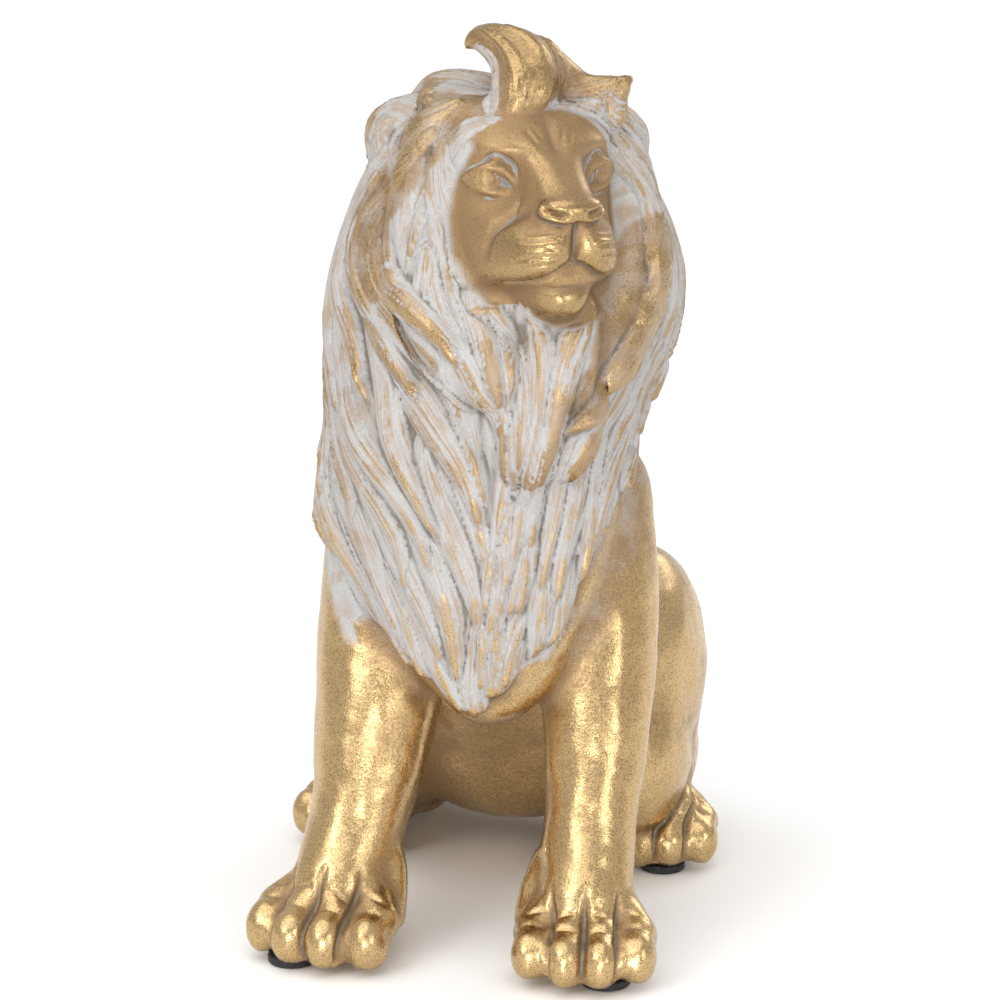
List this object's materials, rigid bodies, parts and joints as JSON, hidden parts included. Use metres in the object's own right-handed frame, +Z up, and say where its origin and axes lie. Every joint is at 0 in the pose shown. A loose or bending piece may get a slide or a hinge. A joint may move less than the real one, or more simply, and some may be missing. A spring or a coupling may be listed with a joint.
{
  "type": "lion figurine",
  "caption": "Seated lion figurine with its head turned to its left, a long layered mane, and round anti-slip pads under the paws.",
  "frame": {"origin": "on the supporting surface, under the centre of the figure's bounding box", "axes": "+Z up; the lion's chest faces -Y and its left side is towards +X"},
  "size_m": [0.1162, 0.1568, 0.2266],
  "materials": {
    "cast_body": "cast resin under gold leaf, with a thin white wash over the mane",
    "pads": "matt black"
  },
  "bodies": {
    "root": {"lion": "cast_body", "pad_front_left": "pads", "pad_front_right": "pads", "pad_hind_left": "pads", "pad_hind_right": "pads"}
  },
  "joints": []
}
